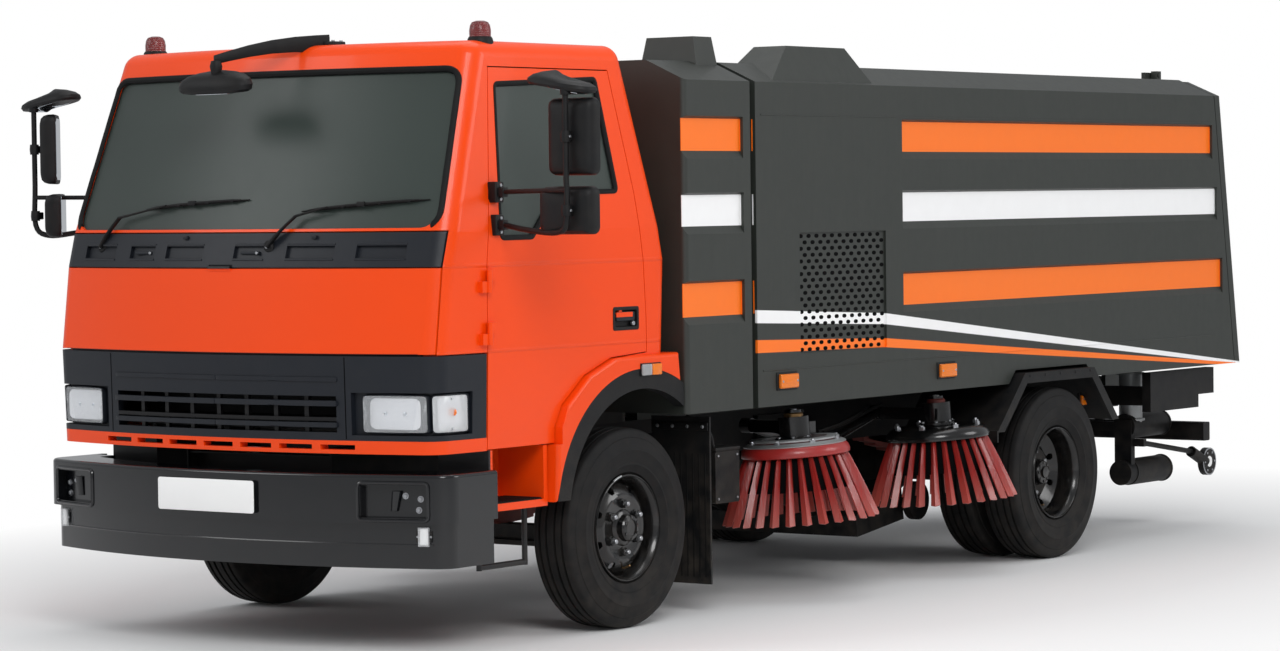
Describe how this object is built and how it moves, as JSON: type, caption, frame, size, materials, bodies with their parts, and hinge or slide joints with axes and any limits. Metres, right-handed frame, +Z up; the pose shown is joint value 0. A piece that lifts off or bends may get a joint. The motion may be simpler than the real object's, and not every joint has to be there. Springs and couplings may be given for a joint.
{
  "type": "street sweeper truck",
  "caption": "Street sweeper truck with a forward-control cab, tipping hopper, lifting disc brushes and a suction nozzle.",
  "frame": {"origin": "middle of the overall box at ground level", "axes": "+Z up, +Y towards the truck's rear, +X towards its left side"},
  "size_m": [3.19, 7.1548, 2.54],
  "materials": {
    "orange_paint": "gloss",
    "green_paint": "satin",
    "frame_paint": "satin",
    "black_plastic": "matt",
    "tyre": "matt",
    "steel": "brushed",
    "cast": "rough",
    "bristle": "matt",
    "window": "clear",
    "lens": "clear",
    "seat_cloth": "woven",
    "trim": "grained",
    "galvanised": "galvanised",
    "dark_panel": "satin"
  },
  "bodies": {
    "truck": {"arch_lips": "black_plastic", "auxiliary_engine": "cast", "battery_box": "black_plastic", "cab_floor": "frame_paint", "cab_glass": "window", "cab_lamps": "lens", "cab_seats": "seat_cloth", "cab_shell": "orange_paint", "chassis_frame": "frame_paint", "cowl_panel": "dark_panel", "dashboard": "trim", "driveline": "cast", "engine_house": "green_paint", "front_axle": "cast", "front_bumper": "dark_panel", "front_mirror": "black_plastic", "fuel_tank": "frame_paint", "grille_panel": "dark_panel", "leaf_springs": "steel", "mudguards": "black_plastic", "rear_axle": "cast", "rear_outlets": "frame_paint", "rear_skirts": "frame_paint", "rear_underrun": "frame_paint", "step_wells": "orange_paint", "wipers": "black_plastic"},
    "front_lid": {"front_lid": "orange_paint"},
    "steering_wheel": {"steering_wheel": "trim"},
    "tie_rod": {"tie_rod": "steel"},
    "hopper": {"hopper_body": "green_paint"},
    "rear_door": {"rear_door": "green_paint"},
    "tip_cylinder": {"tip_cylinder": "frame_paint"},
    "tip_rod": {"tip_rod": "steel"},
    "suction_nozzle": {"suction_nozzle": "frame_paint"},
    "nozzle_wheels": {"nozzle_wheels": "tyre"},
    "door_left": {"door_left": "orange_paint", "door_glass_left": "window", "mirrors_left": "black_plastic"},
    "knuckle_left": {"knuckle_left": "cast"},
    "front_wheel_left": {"front_wheel_left": "tyre"},
    "rear_wheels_left": {"rear_wheels_left": "tyre"},
    "brush_arm_front_left": {"brush_arm_front_left": "frame_paint"},
    "brush_head_front_left": {"brush_head_front_left": "frame_paint"},
    "disc_brush_front_left": {"disc_brush_front_left": "bristle"},
    "brush_arm_rear_left": {"brush_arm_rear_left": "frame_paint"},
    "brush_head_rear_left": {"brush_head_rear_left": "frame_paint"},
    "disc_brush_rear_left": {"disc_brush_rear_left": "bristle"},
    "door_right": {"door_right": "orange_paint", "door_glass_right": "window", "mirrors_right": "black_plastic"},
    "knuckle_right": {"knuckle_right": "cast"},
    "front_wheel_right": {"front_wheel_right": "tyre"},
    "rear_wheels_right": {"rear_wheels_right": "tyre"},
    "brush_arm_front_right": {"brush_arm_front_right": "frame_paint"},
    "brush_head_front_right": {"brush_head_front_right": "frame_paint"},
    "disc_brush_front_right": {"disc_brush_front_right": "bristle"},
    "brush_arm_rear_right": {"brush_arm_rear_right": "frame_paint"},
    "brush_head_rear_right": {"brush_head_rear_right": "frame_paint"},
    "disc_brush_rear_right": {"disc_brush_rear_right": "bristle"}
  },
  "joints": [
    {"name": "steer_left", "type": "hinge", "parent": "truck", "child": "knuckle_left", "pos_m": [0.79, -2.1125, 0.425], "axis": [0, 0, 1], "range_deg": [-30, 30]},
    {"name": "steer_right", "type": "hinge", "parent": "truck", "child": "knuckle_right", "pos_m": [-0.79, -2.1125, 0.425], "axis": [0, 0, 1], "range_deg": [-30, 30]},
    {"name": "tie_rod_slide", "type": "slide", "parent": "truck", "child": "tie_rod", "axis": [-1, 0, 0], "range_m": [-0.1, 0.1]},
    {"name": "steering_wheel_turn", "type": "hinge", "parent": "truck", "child": "steering_wheel", "pos_m": [-0.5, -2.8125, 1.52], "axis": [0, 0.4997, 0.8662], "range_deg": [-485, 485]},
    {"name": "front_wheel_spin_left", "type": "hinge", "parent": "knuckle_left", "child": "front_wheel_left", "pos_m": [0.956, -2.1125, 0.425], "axis": [1, 0, 0], "continuous": true},
    {"name": "rear_wheel_spin_left", "type": "hinge", "parent": "truck", "child": "rear_wheels_left", "pos_m": [0.899, 1.3875, 0.425], "axis": [1, 0, 0], "continuous": true},
    {"name": "front_wheel_spin_right", "type": "hinge", "parent": "knuckle_right", "child": "front_wheel_right", "pos_m": [-0.956, -2.1125, 0.425], "axis": [1, 0, 0], "continuous": true},
    {"name": "rear_wheel_spin_right", "type": "hinge", "parent": "truck", "child": "rear_wheels_right", "pos_m": [-0.899, 1.3875, 0.425], "axis": [1, 0, 0], "continuous": true},
    {"name": "door_hinge_left", "type": "hinge", "parent": "truck", "child": "door_left", "pos_m": [1.078, -3.0675, 1.385], "axis": [0, 0, -1], "range_deg": [0, 65]},
    {"name": "door_hinge_right", "type": "hinge", "parent": "truck", "child": "door_right", "pos_m": [-1.078, -3.0675, 1.385], "axis": [0, 0, 1], "range_deg": [0, 65]},
    {"name": "lid_hinge", "type": "hinge", "parent": "truck", "child": "front_lid", "pos_m": [0, -3.4785, 1.553], "axis": [-1, 0, 0], "range_deg": [0, 75]},
    {"name": "hopper_tip", "type": "hinge", "parent": "truck", "child": "hopper", "pos_m": [0, 3.2375, 0.755], "axis": [-1, 0, 0], "range_deg": [0, 45]},
    {"name": "rear_door_hinge", "type": "hinge", "parent": "hopper", "child": "rear_door", "pos_m": [0, 3.1625, 2.44], "axis": [1, 0, 0], "range_deg": [0, 80]},
    {"name": "cylinder_swing", "type": "hinge", "parent": "truck", "child": "tip_cylinder", "pos_m": [0, 2.0675, 0.64], "axis": [-1, 0, 0], "range_deg": [0, 68.3]},
    {"name": "cylinder_stroke", "type": "slide", "parent": "tip_cylinder", "child": "tip_rod", "axis": [0, -0.9866, 0.163], "range_m": [0, 0.693]},
    {"name": "brush_lift_front_left", "type": "hinge", "parent": "truck", "child": "brush_arm_front_left", "pos_m": [0.665, -0.1925, 0.64], "axis": [1, 0, 0], "range_deg": [0, 32]},
    {"name": "brush_level_front_left", "type": "hinge", "parent": "brush_arm_front_left", "child": "brush_head_front_left", "pos_m": [0.665, -0.65614, 0.76423], "axis": [-1, 0, 0], "range_deg": [0, 33]},
    {"name": "brush_spin_front_left", "type": "hinge", "parent": "brush_head_front_left", "child": "disc_brush_front_left", "pos_m": [0.98, -0.7425, 0.76423], "axis": [-0.0565, -0.0412, 0.9976], "continuous": true},
    {"name": "brush_lift_front_right", "type": "hinge", "parent": "truck", "child": "brush_arm_front_right", "pos_m": [-0.665, -0.1925, 0.64], "axis": [1, 0, 0], "range_deg": [0, 32]},
    {"name": "brush_level_front_right", "type": "hinge", "parent": "brush_arm_front_right", "child": "brush_head_front_right", "pos_m": [-0.665, -0.65614, 0.76423], "axis": [-1, 0, 0], "range_deg": [0, 33]},
    {"name": "brush_spin_front_right", "type": "hinge", "parent": "brush_head_front_right", "child": "disc_brush_front_right", "pos_m": [-0.98, -0.7425, 0.76423], "axis": [0.0565, -0.0412, 0.9976], "continuous": true},
    {"name": "brush_lift_rear_left", "type": "hinge", "parent": "truck", "child": "brush_arm_rear_left", "pos_m": [0.665, -0.0125, 0.64], "axis": [-1, 0, 0], "range_deg": [0, 32]},
    {"name": "brush_level_rear_left", "type": "hinge", "parent": "brush_arm_rear_left", "child": "brush_head_rear_left", "pos_m": [0.665, 0.45114, 0.76423], "axis": [1, 0, 0], "range_deg": [0, 33]},
    {"name": "brush_spin_rear_left", "type": "hinge", "parent": "brush_head_rear_left", "child": "disc_brush_rear_left", "pos_m": [0.98, 0.4875, 0.76423], "axis": [-0.0565, -0.0412, 0.9976], "continuous": true},
    {"name": "brush_lift_rear_right", "type": "hinge", "parent": "truck", "child": "brush_arm_rear_right", "pos_m": [-0.665, -0.0125, 0.64], "axis": [-1, 0, 0], "range_deg": [0, 32]},
    {"name": "brush_level_rear_right", "type": "hinge", "parent": "brush_arm_rear_right", "child": "brush_head_rear_right", "pos_m": [-0.665, 0.45114, 0.76423], "axis": [1, 0, 0], "range_deg": [0, 33]},
    {"name": "brush_spin_rear_right", "type": "hinge", "parent": "brush_head_rear_right", "child": "disc_brush_rear_right", "pos_m": [-0.98, 0.4875, 0.76423], "axis": [0.0565, -0.0412, 0.9976], "continuous": true},
    {"name": "nozzle_lift", "type": "hinge", "parent": "truck", "child": "suction_nozzle", "pos_m": [0, -0.5125, 0.6], "axis": [-1, 0, 0], "range_deg": [0, 7.5]},
    {"name": "nozzle_wheel_spin", "type": "hinge", "parent": "suction_nozzle", "child": "nozzle_wheels", "pos_m": [0, 0.96988, 0.29589], "axis": [1, 0, 0], "continuous": true}
  ],
  "couplings": [
    {"joint": "steer_right", "follows": "steer_left", "ratio": 1},
    {"joint": "tie_rod_slide", "follows": "steer_left", "m_per_rad": 0.17},
    {"joint": "steering_wheel_turn", "follows": "steer_left", "ratio": 16},
    {"joint": "cylinder_swing", "follows": "hopper_tip", "ratio": 1.4948},
    {"joint": "cylinder_stroke", "follows": "hopper_tip", "m_per_rad": 0.87624},
    {"joint": "brush_level_front_left", "follows": "brush_lift_front_left", "ratio": 1},
    {"joint": "brush_level_front_right", "follows": "brush_lift_front_right", "ratio": 1},
    {"joint": "brush_level_rear_left", "follows": "brush_lift_rear_left", "ratio": 1},
    {"joint": "brush_level_rear_right", "follows": "brush_lift_rear_right", "ratio": 1}
  ]
}
